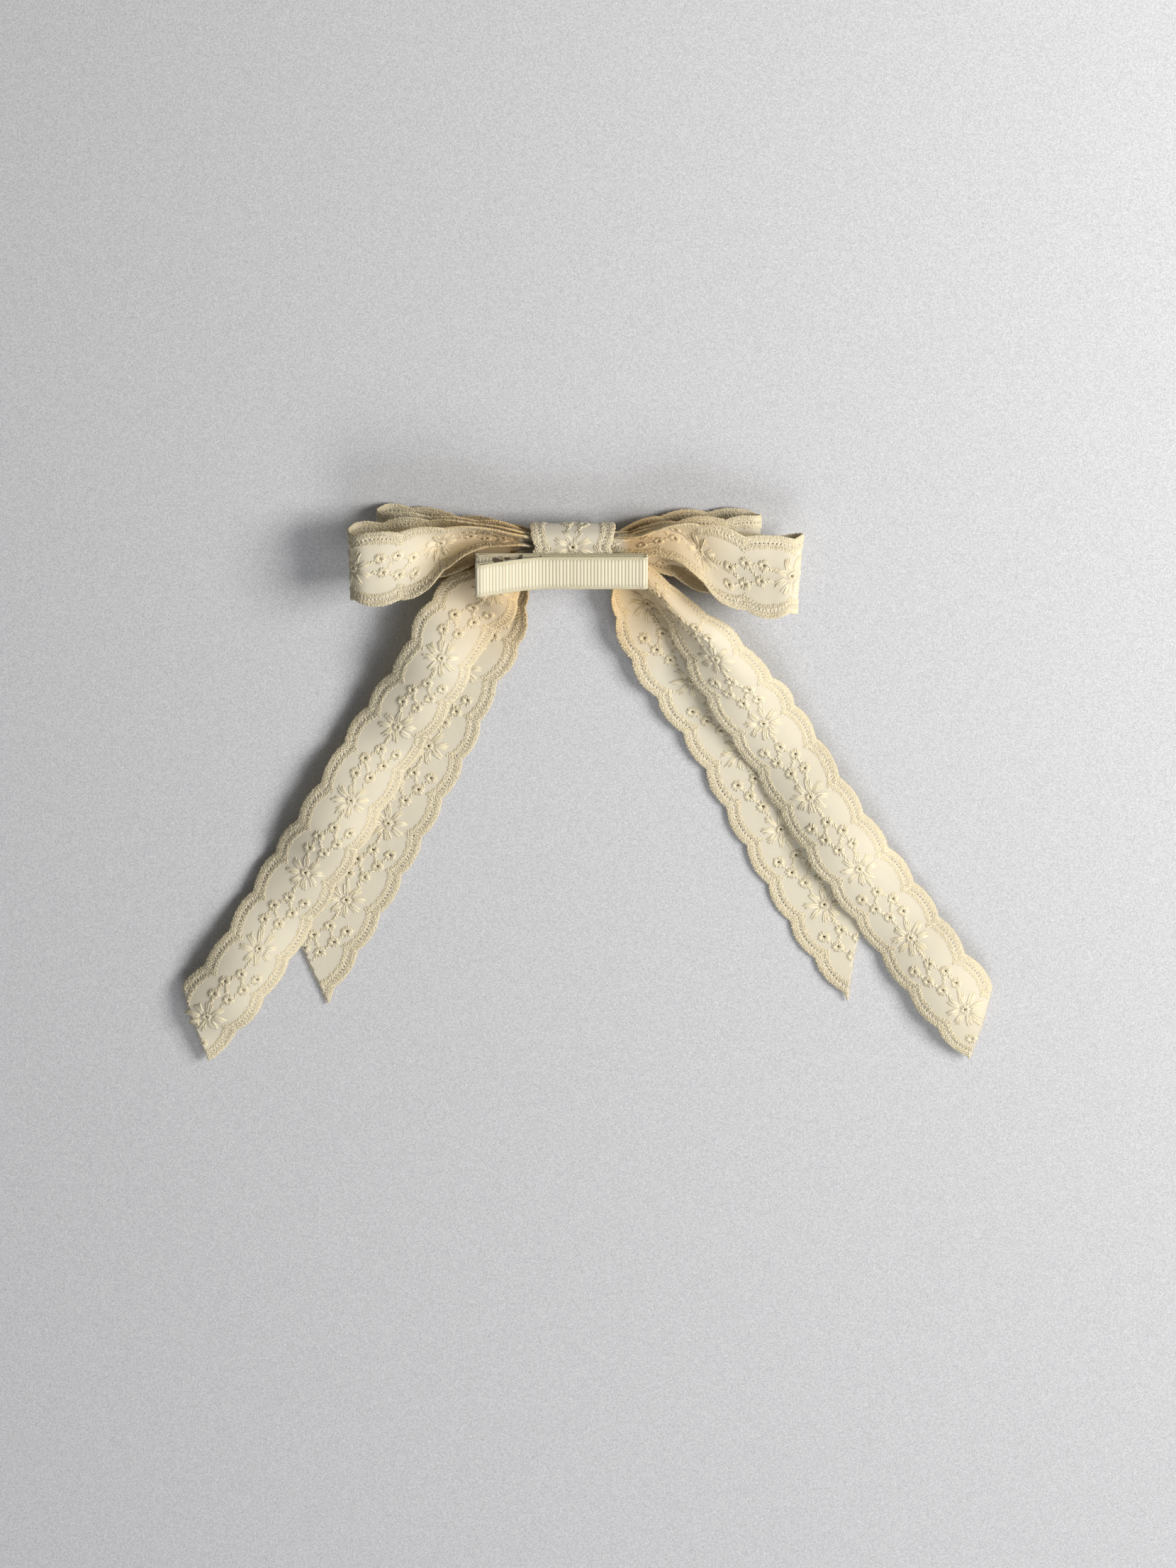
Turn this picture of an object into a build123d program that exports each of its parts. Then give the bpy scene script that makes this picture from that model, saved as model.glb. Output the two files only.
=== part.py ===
"""Lace hair bow on a lined alligator clip, millimetres.

The bow lies face down: +Z is up towards the clip on its back, +X runs along the clip from its lever to
its jaw tip, and +Y points from the tails towards the loops. The origin is on the surface that the bow lies
on, under the middle of its outline.
"""
import math
import os

from build123d import *

os.makedirs("parts", exist_ok=True)

# Lace trim: every loop and tail is a length of it, gathered under the knot
LACE = 0.8
LAYER_PITCH = 1.2
TAIL_REACH = 215.0
TAIL_SIDE = 48.0
LOOP_SIDE = 20.0
OUTLINE_HEIGHT = 40.0

# Knot band, a short length of the same trim wrapped round the gathered bundle
KNOT_X, KNOT_Y = -4.55, 79.65
KNOT_LENGTH, KNOT_DEPTH = 25.0, 18.3
KNOT_BOTTOM, KNOT_TOP = 6.0, 16.7
KNOT_WALL = 1.1
KNOT_CORNER = 3.0

# Bundle inside the knot: six layers of trim, tied by turns of thread
BUNDLE_HALF = 6.0
BUNDLE_LOW = 8.7
MEETING_GAP = 0.75
THREAD = 0.4
THREAD_TURNS = 6
TURN_PITCH = 0.38
THREAD_CLEARANCE = 0.05

# Clip: two steel arms lined with grosgrain ribbon
CLIP_Y = 77.3
CLIP_LEFT, CLIP_TIP = -33.0, 17.4
STEEL, STEEL_WIDTH = 0.6, 8.4
RIBBON, RIBBON_WIDTH = 0.45, 10.5
GLUE = 0.5
GLUE_LENGTH, GLUE_WIDTH, GLUE_CORNER = 20.0, 6.4, 2.4
JAW_GAP = 0.05
LEVER_BEND_X, LEVER_RISE, LEVER_BEND_RADIUS = -16.0, 6.0, 14.0
LEVER_END_X = -32.7
LEVER_WRAP = 5.6
TOP_LINING_END_X = -14.0
LINING_CUT = 3.0
BASE_LINING_END_X, BASE_WRAP_END_X = -19.5, -28.2

# Hinge of the clip
PIVOT_X = -23.8
PIN_RADIUS, PIN_HEAD_RADIUS, PIN_HEAD, PIN_HEAD_TAPER = 0.7, 1.3, 0.45, 35.0
PIN_FIT = 0.02
EAR_BASE, EAR_RADIUS, EAR_FIT = 6.6, 2.1, 0.1
EAR_NOTCH, INNER_EAR_RADIUS = 7.8, 1.5
COIL_RADIUS, WIRE, COIL_FULL_TURNS, COIL_PITCH = 1.45, 0.54, 6, 0.6
SPRING_LEG = 3.6
COIL_CLEARANCE = 0.05

layer_z = [BUNDLE_LOW + LAYER_PITCH * layer for layer in range(6)]
FRONT_FAR, FRONT_NEAR, LOWER_TAIL, UPPER_TAIL, BACK_FAR, BACK_NEAR = layer_z

base_low = KNOT_TOP + GLUE
base_mid = base_low + RIBBON + STEEL / 2
base_high = base_mid + STEEL / 2 + RIBBON
top_mid = base_high + JAW_GAP + RIBBON + STEEL / 2
pivot_z = base_mid + STEEL / 2 + COIL_RADIUS + WIRE / 2 + COIL_CLEARANCE


def finish(builder, name):
    """Label a finished sub-part and write its file."""
    builder.part.label = name
    export_step(builder.part, f"parts/{name}.step")
    return builder.part


def lace_loop(name, walls, radii, outline):
    """One loop: a folded band seen from its edge, trimmed to the outline it has from above."""
    with BuildPart() as loop:
        with BuildSketch(Plane.XZ.offset(-KNOT_Y)):
            with BuildLine():
                FilletPolyline(*walls, radius=radii)
                offset(amount=LACE / 2, side=Side.BOTH)
            make_face()
        extrude(amount=LOOP_SIDE, both=True)
        with BuildSketch(Plane.XY):
            with BuildLine():
                Polyline(*outline, close=True)
            make_face()
        extrude(amount=OUTLINE_HEIGHT, mode=Mode.INTERSECT)
    return finish(loop, name)


def lace_tail(name, angle, falls, radii, outline):
    """One tail: a band that falls from the knot to the surface, trimmed to its outline from above.

    angle is the tail's direction, in degrees from -Y towards +X, and falls are (distance, height) points
    along that direction from the middle of the knot.
    """
    along = Vector(math.sin(math.radians(angle)), -math.cos(math.radians(angle)), 0)
    side = along.cross(Vector(0, 0, 1))
    with BuildPart() as tail:
        with BuildSketch(Plane(origin=(KNOT_X, KNOT_Y, 0), x_dir=along, z_dir=side)):
            with BuildLine():
                FilletPolyline(*falls, radius=radii)
                offset(amount=LACE / 2, side=Side.BOTH)
            make_face()
        extrude(amount=TAIL_SIDE, both=True)
        with BuildSketch(Plane.XY):
            with BuildLine():
                Polyline(*outline, close=True)
            make_face()
        extrude(amount=OUTLINE_HEIGHT, mode=Mode.INTERSECT)
    return finish(tail, name)


left_end = KNOT_X - MEETING_GAP
right_end = KNOT_X + MEETING_GAP
root_low = KNOT_Y - BUNDLE_HALF
root_high = KNOT_Y + BUNDLE_HALF
knot_left = KNOT_X - KNOT_LENGTH / 2
knot_right = KNOT_X + KNOT_LENGTH / 2
floor_z = LACE / 2

# ---- loops -------------------------------------------------------------------------------------------
left_back_loop = lace_loop(
    "left_back_loop",
    walls=[
        (left_end, BACK_NEAR), (-22, 15.2), (-34, 16.3), (-50, 21.3), (-70.3, 21.3),
        (-70.3, 13.1), (-34, 13.4), (left_end, BACK_FAR),
    ],
    radii=[20, 14, 14, 4.0, 4.0, 60],
    outline=[
        (KNOT_X, root_low), (knot_left, root_low), (-34, 70), (-50, 66.6), (-72, 66.6), (-72, 92.2),
        (-52, 93), (-34, 91), (knot_left, root_high), (KNOT_X, root_high),
    ],
)
right_back_loop = lace_loop(
    "right_back_loop",
    walls=[
        (right_end, BACK_NEAR), (13, 15.2), (20, 16.6), (31, 20.6), (62.9, 20.6),
        (62.9, 12.4), (34, 13.2), (right_end, BACK_FAR),
    ],
    radii=[20, 14, 14, 4.0, 4.0, 60],
    outline=[
        (KNOT_X, root_low), (knot_right, root_low), (26, 71), (42, 66), (64, 64.5), (64, 87.5),
        (42, 90.5), (26, 91), (knot_right, root_high), (KNOT_X, root_high),
    ],
)
left_front_loop = lace_loop(
    "left_front_loop",
    walls=[
        (left_end, FRONT_NEAR), (-24, FRONT_NEAR), (-38, 8.0), (-62, 8.0), (-62, floor_z),
        (-30, floor_z), (-19, FRONT_FAR), (left_end, FRONT_FAR),
    ],
    radii=[14, 30, 3.7, 3.7, 6, 4],
    outline=[
        (KNOT_X, root_low), (knot_left, root_low), (-34, 69), (-50, 67.5), (-64, 67.5), (-64, 92.5),
        (-50, 93), (-34, 91), (knot_left, root_high), (KNOT_X, root_high),
    ],
)
right_front_loop = lace_loop(
    "right_front_loop",
    walls=[
        (right_end, FRONT_NEAR), (15, FRONT_NEAR), (28, 8.0), (50.6, 8.0), (50.6, floor_z),
        (22, floor_z), (10, FRONT_FAR), (right_end, FRONT_FAR),
    ],
    radii=[14, 30, 3.7, 3.7, 6, 4],
    outline=[
        (KNOT_X, root_low), (knot_right, root_low), (24, 69), (40, 67.5), (52, 67.5), (52, 89.5),
        (36, 90), (24, 89), (knot_right, root_high), (KNOT_X, root_high),
    ],
)

# ---- tails -------------------------------------------------------------------------------------------
left_upper_tail = lace_tail(
    "left_upper_tail",
    angle=-29.2,
    falls=[(-13, UPPER_TAIL), (20, UPPER_TAIL), (34, 9.8), (58, 4.0), (96, 1.5), (TAIL_REACH, 1.5)],
    radii=[12, 40, 60, 90],
    outline=[
        (left_end, root_low), (knot_left, root_low), (-20, 66), (-27, 49), (-113.7, -93.0),
        (-122.1, -65.2), (-57, 49), (-44, 70.5), (-30, 82), (knot_left, root_high), (left_end, root_high),
    ],
)
left_lower_tail = lace_tail(
    "left_lower_tail",
    angle=-24.4,
    falls=[(-13, LOWER_TAIL), (18, LOWER_TAIL), (29, 8.4), (42, 3.8), (92, floor_z), (TAIL_REACH, floor_z)],
    radii=[12, 20, 60, 120],
    outline=[
        (left_end, root_low), (knot_left, root_low), (-18, 60), (-19.4, 47), (-28, 30), (-78.3, -73.2),
        (-88.8, -44.6), (-48, 45), (-38, 64), (-30, 73), (knot_left, root_high), (left_end, root_high),
    ],
)
right_upper_tail = lace_tail(
    "right_upper_tail",
    angle=33.5,
    falls=[(-13, UPPER_TAIL), (20, UPPER_TAIL), (35, 9.8), (58, 4.4), (98, 1.5), (TAIL_REACH, 1.5)],
    radii=[12, 40, 60, 90],
    outline=[
        (right_end, root_low), (knot_right, root_low), (17, 66), (26, 48), (44.6, 14.3), (114.5, -92),
        (122.1, -66.5), (66.8, 19.7), (52, 41.6), (36, 62), (22, 79), (knot_right, root_high),
        (right_end, root_high),
    ],
)
right_lower_tail = lace_tail(
    "right_lower_tail",
    angle=28.8,
    falls=[(-13, LOWER_TAIL), (18, LOWER_TAIL), (30, 8.2), (42, 3.8), (94, floor_z), (TAIL_REACH, floor_z)],
    radii=[12, 20, 60, 120],
    outline=[
        (right_end, root_low), (knot_right, root_low), (9, 60), (12.8, 42.4), (21.3, 27.4),
        (78.5, -72.5), (86, -36), (65, 1.5), (40, 46), (30, 61), (20, 74), (knot_right, root_high),
        (right_end, root_high),
    ],
)

# ---- knot --------------------------------------------------------------------------------------------
knot_height = KNOT_TOP - KNOT_BOTTOM
knot_plane = Plane(origin=(KNOT_X, KNOT_Y, KNOT_BOTTOM + knot_height / 2), x_dir=(0, 1, 0), z_dir=(1, 0, 0))
with BuildPart() as knot_band:
    with BuildSketch(knot_plane):
        RectangleRounded(KNOT_DEPTH, knot_height, KNOT_CORNER)
        RectangleRounded(
            KNOT_DEPTH - 2 * KNOT_WALL, knot_height - 2 * KNOT_WALL, KNOT_CORNER - KNOT_WALL,
            mode=Mode.SUBTRACT,
        )
    extrude(amount=KNOT_LENGTH / 2, both=True)
finish(knot_band, "knot_band")

bundle_low = FRONT_FAR - LACE / 2
bundle_high = BACK_NEAR + LACE / 2
bundle_plane = Plane(origin=(KNOT_X, KNOT_Y, (bundle_low + bundle_high) / 2), x_dir=(0, 1, 0), z_dir=(1, 0, 0))
winding_width = 2 * (BUNDLE_HALF + THREAD_CLEARANCE)
winding_height = bundle_high - bundle_low + 2 * THREAD_CLEARANCE
with BuildPart() as cinch_thread:
    for turn in range(THREAD_TURNS):
        turn_offset = (turn - (THREAD_TURNS - 1) / 2) * TURN_PITCH
        with BuildSketch(bundle_plane.offset(turn_offset - THREAD / 2)):
            RectangleRounded(winding_width + 2 * THREAD, winding_height + 2 * THREAD, THREAD)
            Rectangle(winding_width, winding_height, mode=Mode.SUBTRACT)
        extrude(amount=TURN_PITCH)
finish(cinch_thread, "cinch_thread")

with BuildPart() as glue_pad:
    with BuildSketch(Plane(origin=(KNOT_X, CLIP_Y, KNOT_TOP))):
        RectangleRounded(GLUE_LENGTH, GLUE_WIDTH, GLUE_CORNER)
    extrude(amount=GLUE)
finish(glue_pad, "glue_pad")

# ---- clip --------------------------------------------------------------------------------------------
clip_plane = Plane(origin=(0, CLIP_Y, 0), x_dir=(1, 0, 0), z_dir=(0, -1, 0))
half_steel = STEEL_WIDTH / 2
ear_centre = half_steel - STEEL / 2
inner_ear_centre = ear_centre - STEEL - EAR_FIT
lever_length = math.hypot(LEVER_BEND_X - LEVER_END_X, LEVER_RISE)
lever_along = Vector(LEVER_END_X - LEVER_BEND_X, LEVER_RISE) / lever_length
base_line = [(CLIP_LEFT + STEEL / 2, base_mid), (CLIP_TIP - STEEL / 2, base_mid)]
top_line = [
    (CLIP_TIP - STEEL / 2, top_mid),
    (LEVER_BEND_X, top_mid),
    (LEVER_END_X, top_mid + LEVER_RISE),
]

with BuildPart() as clip_base_arm:
    with BuildSketch(clip_plane):
        with BuildLine():
            Line(*base_line)
            offset(amount=STEEL / 2, side=Side.BOTH)
        make_face()
    extrude(amount=half_steel, both=True)
    with BuildSketch(clip_plane.offset(ear_centre)):
        with Locations((PIVOT_X, pivot_z)):
            Circle(EAR_RADIUS)
        with BuildLine():
            Polyline(
                (PIVOT_X - EAR_BASE / 2, base_mid), (PIVOT_X + EAR_BASE / 2, base_mid),
                (PIVOT_X + EAR_RADIUS, pivot_z), (PIVOT_X - EAR_RADIUS, pivot_z), close=True,
            )
        make_face()
        with Locations((PIVOT_X, pivot_z)):
            Circle(PIN_RADIUS + PIN_FIT, mode=Mode.SUBTRACT)
    extrude(amount=STEEL / 2, both=True)
    mirror(about=clip_plane)
finish(clip_base_arm, "clip_base_arm")

with BuildPart() as clip_top_arm:
    with BuildSketch(clip_plane):
        with BuildLine():
            FilletPolyline(*top_line, radius=LEVER_BEND_RADIUS)
            offset(amount=STEEL / 2, side=Side.BOTH)
        make_face()
    extrude(amount=half_steel, both=True)
    # The plate is narrower beside the base arm's ears, and its own ears hang down inside them
    with BuildSketch(clip_plane.offset(half_steel)):
        with Locations((PIVOT_X, top_mid + LEVER_RISE / 2)):
            Rectangle(EAR_NOTCH, 2 * LEVER_RISE)
    extrude(amount=-STEEL - EAR_FIT, mode=Mode.SUBTRACT)
    with BuildSketch(clip_plane.offset(-half_steel)):
        with Locations((PIVOT_X, top_mid + LEVER_RISE / 2)):
            Rectangle(EAR_NOTCH, 2 * LEVER_RISE)
    extrude(amount=STEEL + EAR_FIT, mode=Mode.SUBTRACT)
    lever_slope = LEVER_RISE / (LEVER_BEND_X - LEVER_END_X)
    ear_right = PIVOT_X + EAR_RADIUS
    ear_left = PIVOT_X - EAR_RADIUS
    with BuildSketch(clip_plane.offset(inner_ear_centre)):
        with Locations((PIVOT_X, pivot_z)):
            Circle(INNER_EAR_RADIUS)
        with BuildLine():
            Polyline(
                (PIVOT_X - INNER_EAR_RADIUS, pivot_z), (PIVOT_X + INNER_EAR_RADIUS, pivot_z),
                (ear_right, top_mid + (LEVER_BEND_X - ear_right) * lever_slope),
                (ear_left, top_mid + (LEVER_BEND_X - ear_left) * lever_slope), close=True,
            )
        make_face()
        with Locations((PIVOT_X, pivot_z)):
            Circle(PIN_RADIUS + EAR_FIT, mode=Mode.SUBTRACT)
    extrude(amount=STEEL / 2, both=True)
    mirror(about=clip_plane)
finish(clip_top_arm, "clip_top_arm")

with BuildPart() as pivot_pin:
    with BuildSketch(clip_plane):
        with Locations((PIVOT_X, pivot_z)):
            Circle(PIN_RADIUS)
    extrude(amount=half_steel, both=True)
    for side in (1, -1):
        head_plane = Plane(
            origin=(PIVOT_X, CLIP_Y + side * half_steel, pivot_z), x_dir=(1, 0, 0), z_dir=(0, side, 0)
        )
        with BuildSketch(head_plane):
            Circle(PIN_HEAD_RADIUS)
        extrude(amount=PIN_HEAD, taper=PIN_HEAD_TAPER)
finish(pivot_pin, "pivot_pin")

# The coil turns about the pin, with one leg under the lever and the other on the base arm
lever_angle = math.degrees(math.atan2(LEVER_RISE, LEVER_BEND_X - LEVER_END_X))
coil_height = COIL_PITCH * (COIL_FULL_TURNS + (180 - lever_angle) / 360)
pin_axis = Axis((PIVOT_X, CLIP_Y, pivot_z), (0, 1, 0))
coil = Helix(
    pitch=COIL_PITCH, height=coil_height, radius=COIL_RADIUS,
    center=(PIVOT_X, CLIP_Y - coil_height / 2, pivot_z), direction=(0, 1, 0),
).rotate(pin_axis, lever_angle)
lever_leg = Line(coil @ 0 - (coil % 0) * SPRING_LEG, coil @ 0)
base_leg = Line(coil @ 1, coil @ 1 + (coil % 1) * SPRING_LEG)
with BuildPart() as torsion_spring:
    with BuildSketch(Plane(origin=lever_leg @ 0, z_dir=lever_leg % 0)):
        Circle(WIRE / 2)
    sweep(path=Wire([lever_leg.edge(), coil.edge(), base_leg.edge()]), is_frenet=True)
finish(torsion_spring, "torsion_spring")

with BuildPart() as base_ribbon:
    with BuildSketch(clip_plane):
        with BuildLine():
            Line(*base_line)
            offset(amount=STEEL / 2 + RIBBON, side=Side.BOTH)
        make_face()
        with BuildLine():
            Line(*base_line)
            offset(amount=STEEL / 2, side=Side.BOTH)
        make_face(mode=Mode.SUBTRACT)
        with Locations(((BASE_WRAP_END_X + BASE_LINING_END_X) / 2, base_mid + STEEL)):
            Rectangle(BASE_LINING_END_X - BASE_WRAP_END_X, 2 * STEEL, mode=Mode.SUBTRACT)
    extrude(amount=RIBBON_WIDTH / 2, both=True)
finish(base_ribbon, "base_ribbon")

lever_normal = Vector(lever_along.Y, -lever_along.X)
wrap_end = Vector(*top_line[2]) - lever_along * (LEVER_WRAP - STEEL / 2)
if lever_normal.Y > 0:
    lever_normal = lever_normal * -1
wrap_below = wrap_end + lever_normal * LINING_CUT
with BuildPart() as top_ribbon:
    with BuildSketch(clip_plane):
        with BuildLine():
            FilletPolyline(*top_line, radius=LEVER_BEND_RADIUS)
            offset(amount=STEEL / 2 + RIBBON, side=Side.BOTH)
        make_face()
        with BuildLine():
            FilletPolyline(*top_line, radius=LEVER_BEND_RADIUS)
            offset(amount=STEEL / 2, side=Side.BOTH)
        make_face(mode=Mode.SUBTRACT)
        with BuildLine():
            Polyline(
                (TOP_LINING_END_X, top_mid - LINING_CUT), (TOP_LINING_END_X, top_mid), (LEVER_BEND_X, top_mid),
                (wrap_end.X, wrap_end.Y), (wrap_below.X, wrap_below.Y), close=True,
            )
        make_face(mode=Mode.SUBTRACT)
    extrude(amount=RIBBON_WIDTH / 2, both=True)
finish(top_ribbon, "top_ribbon")
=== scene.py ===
import math

import bmesh
import bpy
import numpy as np
from mathutils import Matrix, Vector
from mathutils.geometry import delaunay_2d_cdt


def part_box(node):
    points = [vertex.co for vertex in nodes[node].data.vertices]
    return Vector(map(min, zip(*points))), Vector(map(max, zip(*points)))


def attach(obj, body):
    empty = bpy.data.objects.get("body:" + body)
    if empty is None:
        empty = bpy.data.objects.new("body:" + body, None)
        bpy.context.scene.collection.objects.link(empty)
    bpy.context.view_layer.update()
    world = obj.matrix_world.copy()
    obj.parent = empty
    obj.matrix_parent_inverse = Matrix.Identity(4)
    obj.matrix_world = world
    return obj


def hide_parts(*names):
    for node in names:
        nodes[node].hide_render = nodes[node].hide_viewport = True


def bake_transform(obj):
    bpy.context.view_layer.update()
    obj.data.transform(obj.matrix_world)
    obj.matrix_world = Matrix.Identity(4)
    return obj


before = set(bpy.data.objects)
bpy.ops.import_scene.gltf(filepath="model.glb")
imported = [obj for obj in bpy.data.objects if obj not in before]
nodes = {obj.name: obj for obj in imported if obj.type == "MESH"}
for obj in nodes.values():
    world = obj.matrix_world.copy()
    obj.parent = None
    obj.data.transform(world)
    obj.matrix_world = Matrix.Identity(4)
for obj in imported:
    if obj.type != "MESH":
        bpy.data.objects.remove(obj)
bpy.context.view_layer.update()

MM = 0.001

# Middle of the gathers, and how far from it the painted warm shade starts, is full and ends, in metres
GATHER = (-0.0045, 0.080, 0.012)
SHADE_START = 0.0145
SHADE_RISE = 0.003
SHADE_END = 0.050
SHADE_FADE = 0.034
SHADE_SHARE = 0.7

# Scalloped lace trim, measured flat in millimetres: u runs along it, v across it
TRIM = 25.0
HALF = TRIM / 2
LOBE = 14.2
LOBE_DEPTH = 1.45
REPEAT = 2 * LOBE
NOTCH = 6.0
CLOTH = 0.3
WEAVE = 0.34
# Small holes along each edge: how many to a lobe, their radius and how far inside the edge; then the
# eyelets' radius and the reach of the stitches round the cluster's and the flower's eyelets
SMALL_HOLES = 12
SMALL_HOLE_RADIUS = 0.24
SMALL_HOLE_INSET = 2.4
EYELET_RADIUS = 0.42
RING_REACH = 1.45
FLOWER_RING_REACH = 1.05

# Rows of border stitches: distance inside the edge, stitches in a lobe, tilt, reach and lift
BORDER_ROWS = [
    (0.3, 42, 0.0, 0.85, 0.75), (0.8, 38, 0.6, 0.8, 0.95), (1.3, 34, -0.9, 0.8, 1.0),
    (1.75, 28, 1.3, 0.7, 0.8), (3.0, 29, -0.7, 0.75, 0.85), (3.45, 30, 0.4, 0.8, 1.05),
    (3.9, 26, -0.2, 0.75, 0.9),
]
BORDER_GIRTH = 0.43
NOTCH_STITCHES = 15

# Places of the cluster's eyelets after the flower, and the pairs that stems join
CLUSTER = [(9.8, 0.2), (9.4, -5.2), (14.6, 3.0), (14.3, -3.4), (19.2, -1.5), (19.9, 3.3)]
STEMS = [(0, 2), (1, 3), (2, 5), (3, 4), (0, 3), (2, 4)]
PETALS = 8
PETAL_TIP = 6.1

# Grosgrain ribbon
RIBBON = 10.5
RIB_PITCH = 1.02
RIBBON_CORE = 0.16
SELVEDGE = 1.15


# ---- arithmetic on node sockets ----
class Value:
    """A node's output that takes part in ordinary arithmetic."""

    def __init__(self, graph, socket):
        self.graph = graph
        self.socket = socket

    def calculate(self, operation, *others):
        operands = dict(enumerate([self, *others]))
        made = self.graph.node("ShaderNodeMath", {"operation": operation}, operands)
        return self.graph.output(made)

    def clamped(self):
        return self.calculate("MINIMUM", 1.0).calculate("MAXIMUM", 0.0)

    def __add__(self, other):
        return self.calculate("ADD", other)

    def __mul__(self, other):
        return self.calculate("MULTIPLY", other)

    def __sub__(self, other):
        return self.calculate("SUBTRACT", other)

    def __rsub__(self, other):
        return self * -1.0 + other

    def __truediv__(self, other):
        return self.calculate("DIVIDE", other)

    def __pow__(self, other):
        return self.calculate("POWER", other)

    __radd__ = __add__
    __rmul__ = __mul__


class Graph:
    """Adds nodes to one tree."""

    def __init__(self, tree):
        self.tree = tree

    def node(self, kind, settings=None, sockets=None):
        """One node: its settings first, then the values or links of its sockets."""
        made = self.tree.nodes.new(kind)
        for name, value in (settings or {}).items():
            setattr(made, name, value)
        for key, value in (sockets or {}).items():
            if isinstance(value, Value):
                self.tree.links.new(value.socket, made.inputs[key])
            else:
                made.inputs[key].default_value = value
        return made

    def output(self, made, key=0):
        return Value(self, made.outputs[key])

    def take(self, kind, settings=None, sockets=None, key=0):
        return self.output(self.node(kind, settings, sockets), key)


# ---- materials ----
def linear(red, green, blue):
    """The colour that a display shows as these values."""
    shown = np.array([red, green, blue])
    low = shown / 12.92
    high = ((shown + 0.055) / 1.055) ** 2.4
    return (*np.where(shown <= 0.04045, low, high), 1.0)


THROUGH_LIGHT = linear(0.94, 0.90, 0.74)
# Colour of the painted warm shade in the folds beside the knot
PAINTED_KNOT_SHADE = linear(0.88, 0.72, 0.43)


def new_material(name):
    material = bpy.data.materials.new(name)
    material.use_nodes = True
    material.node_tree.nodes.clear()
    return material, Graph(material.node_tree)


def blend_colour(graph, share, first, second):
    made = graph.node("ShaderNodeMix", {"data_type": "RGBA"}, {"Factor": share, 6: first, 7: second})
    return graph.output(made, 2)


def noise(graph, place, scale, detail=3.0):
    return graph.take("ShaderNodeTexNoise", None, {"Vector": place, "Scale": scale, "Detail": detail})


def relief(graph, height, strength, distance):
    sizes = {"Strength": strength, "Distance": distance, "Height": height}
    return graph.take("ShaderNodeBump", None, sizes)


def see_through_cloth(graph, principled, normal, share):
    """Thin cloth lets some of the light that falls behind it through."""
    glow = graph.node("ShaderNodeBsdfTranslucent", None, {"Color": THROUGH_LIGHT, "Normal": normal})
    mixed = graph.node("ShaderNodeMixShader", None, {0: share})
    graph.tree.links.new(principled.outputs[0], mixed.inputs[1])
    graph.tree.links.new(glow.outputs[0], mixed.inputs[2])
    end = graph.node("ShaderNodeOutputMaterial")
    graph.tree.links.new(mixed.outputs[0], end.inputs[0])


def plain_surface(graph, principled):
    end = graph.node("ShaderNodeOutputMaterial")
    graph.tree.links.new(principled.outputs[0], end.inputs[0])


def gather_shade(graph):
    """Share of painted warm shade by distance from the middle of the gathers: none inside SHADE_START,
    fading out towards SHADE_END.
    """
    place = graph.take("ShaderNodeTexCoord", key="Object")
    made = graph.node("ShaderNodeVectorMath", {"operation": "DISTANCE"}, {0: place, 1: GATHER})
    away = graph.output(made, 1)
    fading = ((SHADE_END - away) / SHADE_FADE).clamped()
    beyond_knot = ((away - SHADE_START) / SHADE_RISE).clamped()
    return fading * beyond_knot * SHADE_SHARE


def voile_material():
    material, graph = new_material("cream_voile")
    flat = graph.take("ShaderNodeAttribute", {"attribute_name": "flat"}, key="Vector")
    parts = graph.node("ShaderNodeSeparateXYZ", None, {0: flat})
    along = graph.output(parts, 0)
    across = graph.output(parts, 1)
    warp = (along * (2 * math.pi / WEAVE)).calculate("SINE")
    weft = (across * (2 * math.pi / WEAVE)).calculate("SINE")
    weave = (warp + weft) * 0.25 + 0.5
    mottle = noise(graph, flat, 0.35)
    slub = noise(graph, flat, 2.6)
    tone = (mottle * 0.6 + weave * 0.25 + slub * 0.15).calculate("MINIMUM", 1.0)
    colour = blend_colour(graph, tone, linear(0.93, 0.905, 0.835), linear(0.97, 0.95, 0.895))
    # painted warm shade in the folds near the knot, mixed into the cloth's colour
    colour = blend_colour(graph, gather_shade(graph), colour, PAINTED_KNOT_SHADE)
    bump = relief(graph, weave, 0.35, 0.00006)
    principled = graph.node("ShaderNodeBsdfPrincipled", None, {
        "Base Color": colour, "Roughness": 0.86, "Specular IOR Level": 0.25,
        "Sheen Weight": 0.25, "Sheen Roughness": 0.5, "Normal": bump,
    })
    see_through_cloth(graph, principled, bump, 0.42)
    return material


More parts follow.
